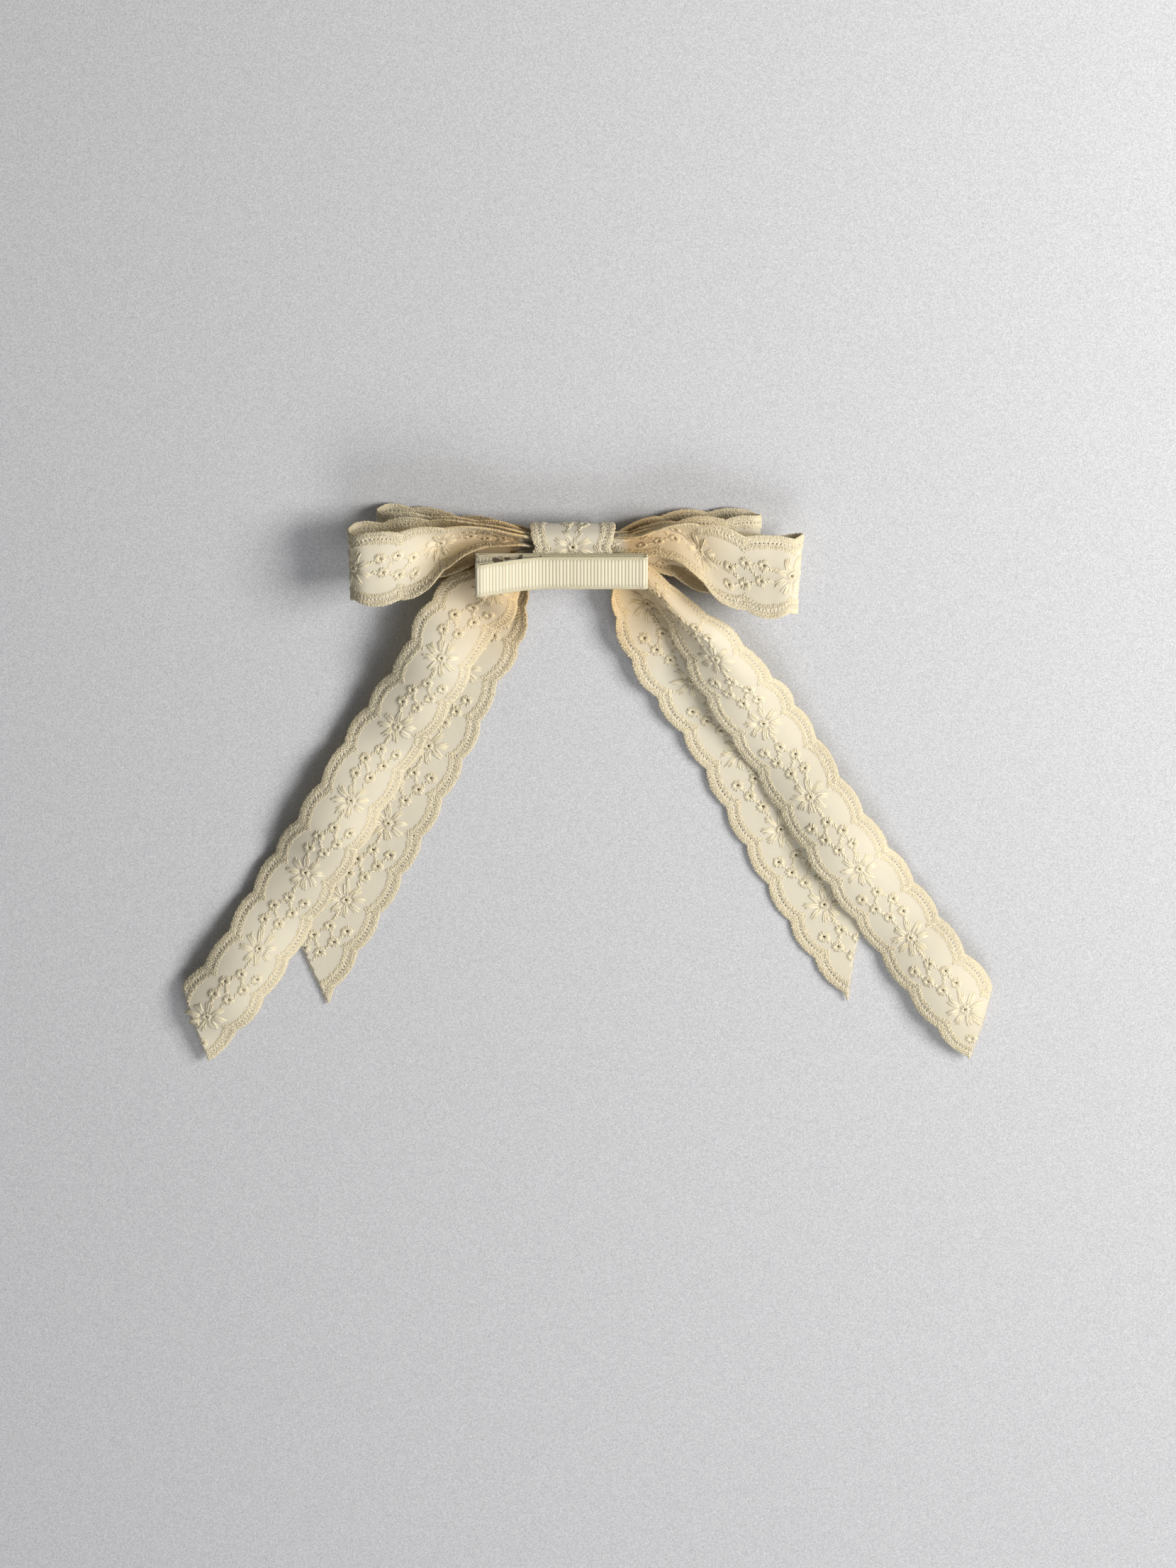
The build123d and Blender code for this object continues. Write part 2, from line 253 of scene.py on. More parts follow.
def thread_material(name, dark_tone_and_valley_shade, light, share, low=0.12, high=0.38, with_painted_knot_shade=False):
    """Thread with painted shade: its colour is darker where it dips between its neighbours,
    mixed with its own random tone.

    The painted shade is darkest at the height low above the cloth and lightest at high, both in
    millimetres.
    """
    material, graph = new_material(name)
    tone = graph.take("ShaderNodeAttribute", {"attribute_name": "tone"}, key="Fac")
    flat = graph.take("ShaderNodeAttribute", {"attribute_name": "flat"}, key="Vector")
    fibre = noise(graph, flat, 6.0, 4.0)
    mottle = noise(graph, flat, 0.22)
    parts = graph.node("ShaderNodeSeparateXYZ", None, {0: flat})
    height = (graph.output(parts, 2).calculate("ABSOLUTE") - low) / (high - low)
    # painted shade: the thread's colour darkens with its height above the cloth, mixed with its random tone
    tone_and_painted_shade = height.clamped() * 0.75 + tone * 0.18 + fibre * 0.12 + mottle * 0.12 - 0.1
    tone_and_painted_shade = tone_and_painted_shade.clamped()
    colour = blend_colour(graph, tone_and_painted_shade, dark_tone_and_valley_shade, light)
    if with_painted_knot_shade:
        # painted warm shade in the folds near the knot, mixed into the thread's colour
        colour = blend_colour(graph, gather_shade(graph), colour, PAINTED_KNOT_SHADE)
    bump = relief(graph, fibre, 0.5, 0.00008)
    principled = graph.node("ShaderNodeBsdfPrincipled", None, {
        "Base Color": colour, "Roughness": 0.72, "Specular IOR Level": 0.35,
        "Sheen Weight": 0.3, "Sheen Roughness": 0.4, "Normal": bump,
    })
    see_through_cloth(graph, principled, bump, share)
    return material


def steel_material(name, shade, roughness):
    material, graph = new_material(name)
    place = graph.take("ShaderNodeTexCoord", key="Object")
    drawn = graph.take("ShaderNodeMapping", None, {"Vector": place, "Scale": (300.0, 4000.0, 4000.0)})
    scratch = noise(graph, drawn, 1.0, 5.0)
    wear = noise(graph, place, 900.0)
    rough = scratch * 0.16 + wear * 0.12 + (roughness - 0.12)
    colour = blend_colour(graph, wear, linear(*[c * 0.9 for c in shade]), linear(*shade))
    bump = relief(graph, scratch, 0.12, 0.00003)
    principled = graph.node("ShaderNodeBsdfPrincipled", None, {
        "Base Color": colour, "Metallic": 1.0, "Roughness": rough, "Normal": bump,
    })
    plain_surface(graph, principled)
    return material


def glue_material():
    material, graph = new_material("hot_melt_glue")
    place = graph.take("ShaderNodeTexCoord", key="Object")
    cloud = noise(graph, place, 500.0)
    colour = blend_colour(graph, cloud, linear(0.80, 0.76, 0.64), linear(0.90, 0.87, 0.78))
    bump = relief(graph, cloud, 0.4, 0.0002)
    principled = graph.node("ShaderNodeBsdfPrincipled", None, {
        "Base Color": colour, "Roughness": 0.28, "Coat Weight": 0.3, "Normal": bump,
    })
    plain_surface(graph, principled)
    return material


def floor_material():
    material, graph = new_material("pale_floor")
    place = graph.take("ShaderNodeTexCoord", key="Object")
    grain = noise(graph, place, 3000.0, 2.0)
    colour = blend_colour(graph, grain, linear(0.55, 0.55, 0.56), linear(0.90, 0.90, 0.905))
    bump = relief(graph, grain, 0.25, 0.0002)
    principled = graph.node("ShaderNodeBsdfPrincipled", None, {
        "Base Color": colour, "Roughness": 0.9, "Specular IOR Level": 0.1, "Normal": bump,
    })
    plain_surface(graph, principled)
    return material


# ---- stitches ----
def stitch_tree():
    """Lays a padded stitch on every point, by the point's turn and size."""
    tree = bpy.data.node_groups.new("satin_stitches", "GeometryNodeTree")
    face = tree.interface
    face.new_socket("Geometry", in_out="INPUT", socket_type="NodeSocketGeometry")
    for name, kind, value in (
        ("Sides", "NodeSocketInt", 4), ("Pieces", "NodeSocketInt", 3),
        ("Blunt", "NodeSocketFloat", 2.6), ("Wander", "NodeSocketFloat", 0.1),
        ("Uneven", "NodeSocketFloat", 0.15), ("Seed", "NodeSocketInt", 1),
    ):
        face.new_socket(name, in_out="INPUT", socket_type=kind).default_value = value
    face.new_socket("Material", in_out="INPUT", socket_type="NodeSocketMaterial")
    face.new_socket("Geometry", in_out="OUTPUT", socket_type="NodeSocketGeometry")
    graph = Graph(tree)
    given = graph.node("NodeGroupInput")
    entry = {socket.name: Value(graph, socket) for socket in given.outputs if socket.name}

    rod = graph.take("GeometryNodeMeshCylinder", {"fill_type": "NGON"}, {
        "Vertices": entry["Sides"], "Side Segments": entry["Pieces"], "Radius": 0.5, "Depth": 1.0,
    })
    lying = graph.take("GeometryNodeTransform", None, {
        "Geometry": rod, "Rotation": (0.0, math.pi / 2, 0.0),
    })
    place = graph.node("ShaderNodeSeparateXYZ", None, {0: graph.take("GeometryNodeInputPosition")})
    along, aside, above = (graph.output(place, axis) for axis in range(3))
    spaced = along * (2.2 - along * along * 4.8)
    reach = (spaced * 1.96).calculate("ABSOLUTE") ** entry["Blunt"]
    plump = (1.0 - reach).calculate("MAXIMUM", 0.02) ** 0.5
    shaped = graph.take("ShaderNodeCombineXYZ", None, {0: spaced, 1: aside * plump, 2: above * plump})
    stitch = graph.take("GeometryNodeSetPosition", None, {"Geometry": lying, "Position": shaped})

    def attribute(name):
        return graph.take("GeometryNodeInputNamedAttribute", {"data_type": "FLOAT"}, {"Name": name})

    def chance(low, high, seed_step):
        kind = {"data_type": "FLOAT"}
        made = graph.node("FunctionNodeRandomValue", kind, {2: low, 3: high})
        tree.links.new((entry["Seed"] + seed_step).socket, made.inputs["Seed"])
        return graph.output(made, 1)

    spread = chance(-1.0, 1.0, 3) * entry["Wander"]
    turn = graph.take("ShaderNodeCombineXYZ", None, {2: attribute("turn") + spread})
    size = graph.take("ShaderNodeCombineXYZ", None, {
        0: attribute("reach") * (chance(-0.8, 0.8, 5) * entry["Uneven"] + 1.0),
        1: attribute("girth") * (chance(-1.0, 1.0, 7) * entry["Uneven"] + 1.0),
        2: attribute("lift") * (chance(-1.3, 1.3, 9) * entry["Uneven"] + 1.0),
    })
    laid = graph.take("GeometryNodeInstanceOnPoints", None, {
        "Points": entry["Geometry"], "Instance": stitch, "Rotation": turn, "Scale": size,
    })
    toned = graph.node("GeometryNodeStoreNamedAttribute", {"data_type": "FLOAT", "domain": "INSTANCE"}, {
        "Geometry": laid, "Name": "tone", "Value": chance(0.0, 1.0, 11),
    })
    real = graph.take("GeometryNodeRealizeInstances", None, {"Geometry": graph.output(toned)})
    painted = graph.take("GeometryNodeSetMaterial", None, {"Geometry": real, "Material": entry["Material"]})
    end = graph.node("NodeGroupOutput")
    tree.links.new(painted.socket, end.inputs[0])
    return tree


STITCHES = stitch_tree()


def sew(stitches, material, seed, blunt=3.6, wander=0.1, uneven=0.15, sides=4, pieces=3):
    """Flat mesh of the stitches, each given as u, v, turn, reach, girth and lift."""
    rows = np.array(stitches, float)
    mesh = bpy.data.meshes.new("stitch_points")
    mesh.vertices.add(len(rows))
    places = np.column_stack([rows[:, 0], rows[:, 1], np.zeros(len(rows))])
    mesh.vertices.foreach_set("co", places.ravel())
    for column, name in ((2, "turn"), (3, "reach"), (4, "girth"), (5, "lift")):
        layer = mesh.attributes.new(name, "FLOAT", "POINT")
        layer.data.foreach_set("value", np.ascontiguousarray(rows[:, column]))
    holder = bpy.data.objects.new("stitch_points", mesh)
    bpy.context.scene.collection.objects.link(holder)
    modifier = holder.modifiers.new("stitches", "NODES")
    modifier.node_group = STITCHES
    wanted = {
        "Sides": sides, "Pieces": pieces, "Blunt": blunt, "Wander": wander, "Uneven": uneven,
        "Seed": seed, "Material": material,
    }
    for item in STITCHES.interface.items_tree:
        if item.in_out == "INPUT" and item.name in wanted:
            modifier[item.identifier] = wanted[item.name]
    graph = bpy.context.evaluated_depsgraph_get()
    sewn = bpy.data.meshes.new_from_object(
        holder.evaluated_get(graph), preserve_all_data_layers=True, depsgraph=graph
    )
    holder.modifiers.clear()
    bpy.data.objects.remove(holder)
    return sewn


# ---- the flat lace pattern ----
LOBE_RADIUS = ((LOBE / 2) ** 2 + LOBE_DEPTH**2) / (2 * LOBE_DEPTH)


def from_lobe(u):
    """Distance along the trim from the middle of the nearest lobe."""
    return (u - NOTCH) % LOBE - LOBE / 2


def edge_height(u):
    """Half the width of the trim at u."""
    return HALF - LOBE_RADIUS + np.sqrt(LOBE_RADIUS**2 - from_lobe(u) ** 2)


def lobe_row(inset, count):
    """Places and outward turns spaced along one lobe at that distance inside its edge, notch to notch."""
    radius = LOBE_RADIUS - inset
    widest = math.asin(LOBE / 2 / radius)
    row = []
    for k in range(count):
        angle = widest * ((2 * k + 1) / count - 1)
        u = radius * math.sin(angle)
        v = HALF - LOBE_RADIUS + radius * math.cos(angle)
        row.append((u, v, math.pi / 2 - angle))
    return row


def eyelets():
    """Centres of the eyelets in one repeat: the flower's, then the cluster's."""
    return [(NOTCH, 0.0)] + [(NOTCH + u, v) for u, v in CLUSTER]


def small_holes():
    """Centres of the row of small holes inside both edges, over one repeat."""
    found = []
    for lobe in (0, 1):
        for u, v, _ in lobe_row(SMALL_HOLE_INSET, SMALL_HOLES):
            place = (NOTCH + LOBE * (lobe + 0.5) + u) % REPEAT
            found += [(place, v), (place, -v)]
    return found


def ring(centre, radius, count):
    return [
        (centre[0] + radius * math.cos(2 * math.pi * k / count),
         centre[1] + radius * math.sin(2 * math.pi * k / count))
        for k in range(count)
    ]


def cloth_repeat():
    """Points and triangles of one flat repeat of cloth, with its holes cut."""
    steps = 50
    rows = 24
    across = np.linspace(-1, 1, rows + 1)
    us = np.linspace(0, REPEAT, steps + 1)
    end_height = float(edge_height(0.0))
    outline = [(u, -float(edge_height(u))) for u in us[:-1]]
    outline += [(REPEAT, s * end_height) for s in across[:-1]]
    outline += [(u, float(edge_height(u))) for u in us[:0:-1]]
    outline += [(0.0, s * end_height) for s in across[:0:-1]]
    loops = [outline]
    holes = [(centre, EYELET_RADIUS, 10) for centre in eyelets()]
    holes += [(centre, SMALL_HOLE_RADIUS, 6) for centre in small_holes()]
    loops += [ring(*hole) for hole in holes]
    points = [p for loop in loops for p in loop]
    edges = []
    start = 0
    for loop in loops:
        count = len(loop)
        edges += [(start + k, start + (k + 1) % count) for k in range(count)]
        start += count
    centres = np.array([hole[0] for hole in holes])
    radii = np.array([hole[1] for hole in holes])
    spacing = 0.95
    for i in range(1, int(REPEAT / spacing)):
        for j in range(-int(HALF / spacing), int(HALF / spacing) + 1):
            u = i * spacing + (j % 2) * spacing / 2
            v = j * spacing * 0.87
            clear = np.hypot(centres[:, 0] - u, centres[:, 1] - v) - radii
            if abs(v) < edge_height(u) - 0.5 and clear.min() > 0.42 and 0.5 < u < REPEAT - 0.5:
                points.append((u, v))
    found = delaunay_2d_cdt([Vector(p) for p in points], edges, [], 1, 1e-5)
    flat = np.array([tuple(p) for p in found[0]])
    triangles = np.array([list(t) for t in found[2] if len(t) == 3])
    middle = flat[triangles].mean(axis=1)
    inside_hole = np.zeros(len(triangles), bool)
    for centre, radius in zip(centres, radii):
        inside_hole |= np.hypot(middle[:, 0] - centre[0], middle[:, 1] - centre[1]) < radius * 0.8
    beyond = np.abs(middle[:, 1]) > edge_height(middle[:, 0])
    triangles = triangles[~(inside_hole | beyond)]
    a, b, c = (flat[triangles[:, k]] for k in range(3))
    area = (b[:, 0] - a[:, 0]) * (c[:, 1] - a[:, 1]) - (c[:, 0] - a[:, 0]) * (b[:, 1] - a[:, 1])
    triangles[area < 0] = triangles[area < 0][:, ::-1]
    return flat, triangles[np.abs(area) > 1e-6]


CLOTH_REPEAT = cloth_repeat()


def uneven(rows, chance, shift, turn):
    """The same stitches, each a little out of place."""
    rows = np.array(rows, float)
    rows[:, :2] += chance.normal(0, shift, (len(rows), 2))
    rows[:, 2] += chance.normal(0, turn, len(rows))
    rows[:, 3] *= chance.uniform(0.8, 1.2, len(rows))
    return rows


def border_stitches(first, last, chance):
    """Stitches over both scalloped edges: a rolled rim, bars between the small holes, and a cord inside."""
    rows = []
    for inset, count, tilt, reach, lift in BORDER_ROWS:
        rows += [(u, v, turn + tilt, reach, BORDER_GIRTH, lift) for u, v, turn in lobe_row(inset, count)]
    bars = lobe_row(SMALL_HOLE_INSET, SMALL_HOLES + 1)[1:-1]
    rows += [(u, v, turn, 1.3, 0.44, 0.85) for u, v, turn in bars]
    notch_v = float(edge_height(NOTCH))
    for step in range(NOTCH_STITCHES):
        side = (-1) ** step
        height = notch_v - 0.4 - 0.31 * step
        rows.append((0.4 * side - LOBE / 2, height, 0.7 * side, 1.1, 0.46, 1.0))
    made = []
    first_lobe = int(math.floor((first - NOTCH) / LOBE)) - 1
    end_lobe = int(math.ceil((last - NOTCH) / LOBE)) + 1
    for lobe in range(first_lobe, end_lobe):
        middle = NOTCH + LOBE * (lobe + 0.5)
        for u, v, turn, *size in rows:
            made.append((middle + u, v, turn, *size))
            made.append((middle + u, -v, -turn, *size))
    return uneven(made, chance, 0.1, 0.35)


def eyelet_stitches(centre, count, reach):
    """Buttonhole stitches that stand round an eyelet."""
    middle = EYELET_RADIUS + reach / 2 - 0.03
    made = []
    for k in range(count):
        turn = 2 * math.pi * k / count
        out = middle + (0.12 if k % 2 else -0.05)
        place = (centre[0] + out * math.cos(turn), centre[1] + out * math.sin(turn))
        made.append((*place, turn, reach, 0.56, 1.25))
    return made


def petal_stitches(centre, turn):
    """Long stitches that lie side by side along one rounded petal."""
    made = []
    for lane in (-2, -1, 0, 1, 2):
        inner = 1.7 + 0.1 * abs(lane)
        outer = PETAL_TIP - 0.17 * lane * lane
        root = np.array([inner, 0.27 * lane])
        tip = np.array([outer, 0.4 * lane])
        along = tip - root
        middle = (root + tip) / 2
        place = (
            centre[0] + middle[0] * math.cos(turn) - middle[1] * math.sin(turn),
            centre[1] + middle[0] * math.sin(turn) + middle[1] * math.cos(turn),
        )
        made.append((*place, turn + math.atan2(along[1], along[0]), math.hypot(*along), 0.64, 1.2))
    return made


def stem_stitches(start, end):
    """Short stitches that run from one eyelet to another."""
    gap = np.subtract(end, start)
    length = math.hypot(*gap)
    turn = math.atan2(gap[1], gap[0])
    made = []
    reach = length - 2 * (EYELET_RADIUS + RING_REACH)
    for k in range(max(1, int(reach / 0.48))):
        share = (EYELET_RADIUS + RING_REACH + 0.1 + k * 0.48) / length
        u, v = np.add(start, gap * share)
        made.append((u, v, turn + (0.75 if k % 2 else -0.75), 1.7, 0.62, 1.1))
    return made


def motif_stitches():
    """The flower, the cluster of eyelets and their stems, for one repeat."""
    flower, *cluster = eyelets()
    made = eyelet_stitches(flower, 16, FLOWER_RING_REACH)
    for k in range(PETALS):
        made += petal_stitches(flower, 2 * math.pi * (k + 0.5) / PETALS)
    for centre in cluster:
        made += eyelet_stitches(centre, 20, RING_REACH)
    for start, end in STEMS:
        made += stem_stitches(cluster[start], cluster[end])
    made += stem_stitches(flower, cluster[0])[4:]
    made += stem_stitches(cluster[5], (NOTCH + REPEAT, 0.0))[:4]
    made += stem_stitches(cluster[4], (NOTCH + REPEAT, 0.0))[:3]
    return made


MOTIF = motif_stitches()


def motif_length(first, last, chance):
    """The motifs of a length of trim."""
    made = []
    for whole in range(int(math.floor(first / REPEAT)) - 1, int(math.ceil(last / REPEAT)) + 1):
        made += [(u + whole * REPEAT, *rest) for u, *rest in MOTIF]
    return uneven(made, chance, 0.06, 0.13)


# ---- laying flat work in space ----
def hermite(knots, values, at):
    """Smooth curve through values at the knots."""
    slope = np.gradient(values, knots, axis=0)
    k = np.clip(np.searchsorted(knots, at, side="right") - 1, 0, len(knots) - 2)
    gap = (knots[k + 1] - knots[k])[:, None]
    t = ((at - knots[k]) / gap[:, 0])[:, None]
    first = (1 + 2 * t) * (1 - t) ** 2 * values[k] + t * (1 - t) ** 2 * gap * slope[k]
    second = t * t * (3 - 2 * t) * values[k + 1] + t * t * (t - 1) * gap * slope[k + 1]
    return first + second


class Lay:
    """How a flat strip lies in space.

    Each station is (one edge's point, the other edge's point, fold, slack, lean), and the last three may be
    left out. The cloth between the two edges bows out: fold weighs a single bow, an S, and three and five
    waves, slack is the share of the spare width that is kept, and lean tips the bow towards the first edge.
    """

    STEP = 0.5
    LANES = 41
    SOFTEN = 29

    def __init__(self, width, stations, ripple=0.0, ripple_length=30.0, shift=0.0):
        upper = np.array([s[0] for s in stations], float)
        lower = np.array([s[1] for s in stations], float)
        folds = [(*s[2], 0, 0, 0, 0)[:4] if len(s) > 2 else (1, 0, 0, 0) for s in stations]
        folds = np.array(folds)
        slack = np.array([s[3] if len(s) > 3 else 1.0 for s in stations])
        lean = np.array([s[4] if len(s) > 4 else 0.0 for s in stations])
        middle = (upper + lower) / 2
        knots = np.concatenate([[0], np.cumsum(np.linalg.norm(np.diff(middle, axis=0), axis=1))])
        fine = np.linspace(0, knots[-1], 2000)
        spine = hermite(knots, middle, fine)
        run = np.concatenate([[0], np.cumsum(np.linalg.norm(np.diff(spine, axis=0), axis=1))])
        self.length = float(run[-1])
        self.width = width
        count = int(math.ceil(self.length / self.STEP)) + 1
        self.u = np.linspace(0, self.length, count)
        at = np.interp(self.u, run, fine)
        upper = hermite(knots, upper, at)
        lower = hermite(knots, lower, at)
        folds = np.column_stack([np.interp(at, knots, folds[:, k]) for k in range(4)])
        slack = np.interp(at, knots, slack)
        chord = upper - lower
        span = np.linalg.norm(chord, axis=1)
        side = chord / span[:, None]
        tangent = np.gradient((upper + lower) / 2, self.u, axis=0)
        out = np.cross(tangent, side)
        out /= np.linalg.norm(out, axis=1)[:, None]
        out += np.interp(at, knots, lean)[:, None] * side
        out /= np.linalg.norm(out, axis=1)[:, None]
        tip = (out * side).sum(axis=1)
        self.grid = self.bowed(lower, side, out, span, folds, slack, tip)
        lanes = np.linspace(-1, 1, self.LANES)
        phase = 2 * math.pi * (self.u / ripple_length + shift)
        wave = 0.5 + 0.4 * np.sin(phase[:, None] + 0.5 * lanes[None, :])
        wave += 0.1 * np.sin(2.7 * phase[:, None] - 0.8 * lanes[None, :])
        calm = np.clip((self.u - 18) / 25, 0, 1)[:, None]
        self.grid[:, :, 2] += ripple * wave * calm
        along = np.gradient(self.grid, axis=0)
        across = np.gradient(self.grid, axis=1)
        facing = np.cross(along, across)
        self.normals = facing / np.linalg.norm(facing, axis=2)[:, :, None]

    def bowed(self, lower, side, out, span, folds, slack, tip):
        """Cross-sections between the two edges, bowed to the width that slack keeps."""
        x = np.linspace(-0.5, 0.5, 81)
        shapes = np.array([
            np.cos(math.pi * x), np.sin(2 * math.pi * x), np.cos(3 * math.pi * x), np.cos(5 * math.pi * x),
        ])
        bow = folds @ shapes
        step_x = np.diff(x)[None, :] * span[:, None]
        step_bow = np.diff(bow, axis=1)
        target = span + np.maximum(self.width - span, 0) * slack
        low = np.zeros(len(span))
        high = np.full(len(span), 40.0)
        for _ in range(40):
            half = (low + high) / 2
            rise = half[:, None] * step_bow
            length = np.sqrt(step_x**2 + rise**2 + 2 * step_x * rise * tip[:, None]).sum(axis=1)
            low = np.where(length < target, half, low)
            high = np.where(length < target, high, half)
        soften = np.hanning(self.SOFTEN)
        padded = np.pad(low, self.SOFTEN // 2, mode="edge")
        low = np.convolve(padded, soften / soften.sum(), mode="valid")
        rise = low[:, None] * bow
        climb = np.diff(rise, axis=1)
        run = np.sqrt(step_x**2 + climb**2 + 2 * step_x * climb * tip[:, None])
        arc = np.concatenate([np.zeros((len(span), 1)), np.cumsum(run, axis=1)], axis=1)
        lanes = np.linspace(0, 1, self.LANES)
        across = np.array([np.interp(lanes * a[-1], a, (x + 0.5) * c) for a, c in zip(arc, span)])
        height = np.array([np.interp(lanes * a[-1], a, r) for a, r in zip(arc, rise)])
        sideways = across[:, :, None] * side[:, None, :]
        outwards = height[:, :, None] * out[:, None, :]
        return lower[:, None, :] + sideways + outwards

    def place(self, flat):
        """Points in space, in metres, of flat points (u, v, height)."""
        row = flat[:, 0] / self.length * (len(self.u) - 1)
        lane = (flat[:, 1] / self.width + 0.5) * (self.LANES - 1)
        i = np.clip(np.floor(row).astype(int), 0, len(self.u) - 2)
        j = np.clip(np.floor(lane).astype(int), 0, self.LANES - 2)
        s = (row - i)[:, None]
        t = (lane - j)[:, None]

        def blend(grid):
            near = grid[i, j] * (1 - t) + grid[i, j + 1] * t
            far = grid[i + 1, j] * (1 - t) + grid[i + 1, j + 1] * t
            return near * (1 - s) + far * s

        normal = blend(self.normals)
        normal /= np.linalg.norm(normal, axis=1)[:, None]
        return (blend(self.grid) + flat[:, 2:3] * normal) * MM


def remember_flat(mesh, flat):
    """Keeps where each point was in the flat work, for its material."""
    layer = mesh.attributes.get("flat") or mesh.attributes.new("flat", "FLOAT_VECTOR", "POINT")
    layer.data.foreach_set("vector", np.ascontiguousarray(flat, dtype=np.float32).ravel())


def points_of(mesh):
    places = np.zeros(len(mesh.vertices) * 3)
    mesh.vertices.foreach_get("co", places)
    return places.reshape(-1, 3)


def new_object(name, mesh, material):
    mesh.materials.clear()
    mesh.materials.append(material)
    mesh.shade_smooth()
    made = bpy.data.objects.new(name, mesh)
    bpy.context.scene.collection.objects.link(made)
    return made


def slab(flat, faces, thickness):
    """A closed sheet of that thickness from flat points and faces."""
    count = len(flat)
    top = np.column_stack([flat, np.full(count, thickness / 2)])
    under = np.column_stack([flat, np.full(count, -thickness / 2)])
    sides = {}
    for face in faces:
        for a, b in zip(face, [*face[1:], face[0]]):
            sides[(a, b)] = (b, a) not in sides
            if (b, a) in sides:
                sides[(b, a)] = False
    walls = [(a, a + count, b + count, b) for (a, b), open_edge in sides.items() if open_edge]
    lower = [tuple(k + count for k in reversed(face)) for face in faces]
    return np.vstack([top, under]), [tuple(face) for face in faces] + lower + walls


def lace_cloth(first, last, slant):
    """Flat cloth from first to last along the pattern, its far end cut back by slant at the upper edge."""
    points, triangles = CLOTH_REPEAT
    work = bmesh.new()
    for whole in range(int(math.floor(first / REPEAT)), int(math.ceil(last / REPEAT))):
        verts = [work.verts.new((u + whole * REPEAT, v, 0)) for u, v in points]
        for a, b, c in triangles:
            work.faces.new((verts[a], verts[b], verts[c]))
    bmesh.ops.remove_doubles(work, verts=work.verts, dist=0.01)
    cuts = [(Vector((first, 0, 0)), Vector((-1, 0, 0)))]
    cuts.append((Vector((last, -HALF, 0)), Vector((TRIM, slant, 0)).normalized()))
    for place, normal in cuts:
        geometry = work.verts[:] + work.edges[:] + work.faces[:]
        bmesh.ops.bisect_plane(
            work, geom=geometry, dist=0.001, plane_co=place, plane_no=normal, clear_outer=True
        )
    work.verts.index_update()
    flat = np.array([tuple(v.co)[:2] for v in work.verts])
    faces = [[v.index for v in face.verts] for face in work.faces]
    work.free()
    return flat, faces


def fray(first, last, slant, chance):
    """Loose thread ends along the cut."""
    made = []
    for share in np.linspace(0.01, 0.99, 70):
        v = -HALF + share * TRIM
        u = last - share * slant + chance.uniform(-0.25, 0.15)
        if abs(v) < edge_height(u):
            turn = math.atan2(slant, TRIM) + chance.normal(0, 0.5)
            made.append((u, v, turn, chance.uniform(0.6, 1.5), 0.16, 0.16))
    return made


def lace_length(
    node, stations, phase, slant=0.0, seed=1, ripple=0.0, ripple_length=30.0, shift=0.0
):
    """One length of lace: its cloth and its embroidery, in place of its plain CAD node."""
    lay = Lay(TRIM, stations, ripple, ripple_length, shift)
    first = phase
    last = phase + lay.length
    flat, faces = lace_cloth(first, last, slant)
    points, faces = slab(flat, faces, CLOTH)
    mesh = bpy.data.meshes.new(node + "_cloth")
    at = points - np.array([first, 0, 0])
    mesh.from_pydata(lay.place(at).tolist(), [], faces)
    remember_flat(mesh, points)
    cloth = new_object(node + "_cloth", mesh, VOILE)

    chance = np.random.default_rng(seed)
    border = border_stitches(first, last, chance)
    sewn = [
        ("upper_edging", border[border[:, 1] > 0]), ("lower_edging", border[border[:, 1] <= 0]),
        ("flowers", motif_length(first, last, chance)),
    ]
    pieces = []
    for label, rows in sewn:
        limit = last - (rows[:, 1] + HALF) / TRIM * slant - 0.3
        rows = rows[(rows[:, 0] > first + 0.4) & (rows[:, 0] < limit)].tolist()
        if slant and label == "upper_edging":
            rows += fray(first, last, slant, chance)
        mesh = sew(rows, THREAD, seed, blunt=5.0, wander=0.16)
        points = points_of(mesh)
        remember_flat(mesh, points)
        mesh.vertices.foreach_set("co", lay.place(points - np.array([first, 0, 0])).ravel())
        pieces.append(new_object(node + "_" + label, mesh, THREAD))
    for piece in [cloth, *pieces]:
        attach(piece, "bow")
    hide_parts(node)
    return cloth


# ---- materials in use ----
VOILE = voile_material()
# Every thread material carries painted shade where it dips low; the embroidery thread also carries painted
# warm shade near the knot
THREAD = thread_material(
    "cream_embroidery_thread", linear(0.885, 0.80, 0.60), linear(0.998, 0.975, 0.885), 0.26, with_painted_knot_shade=True
)
RIB_THREAD = thread_material(
    "grosgrain_ribs", linear(0.74, 0.70, 0.60), linear(0.90, 0.865, 0.76), 0.05, 0.07, 0.17
)
# The ground between the ribs is coloured darker than the ribs: painted shade in the gaps between them
RIB_GROUND_PAINTED_SHADE = thread_material("grosgrain_ground_painted_shade", linear(0.72, 0.69, 0.58), linear(0.80, 0.77, 0.66), 0.05)
SELVEDGE_THREAD = thread_material(
    "grosgrain_selvedge", linear(0.80, 0.755, 0.62), linear(0.91, 0.875, 0.755), 0.05, 0.06, 0.2
)

PLEATS = (0.2, 0, 1, 0.3)

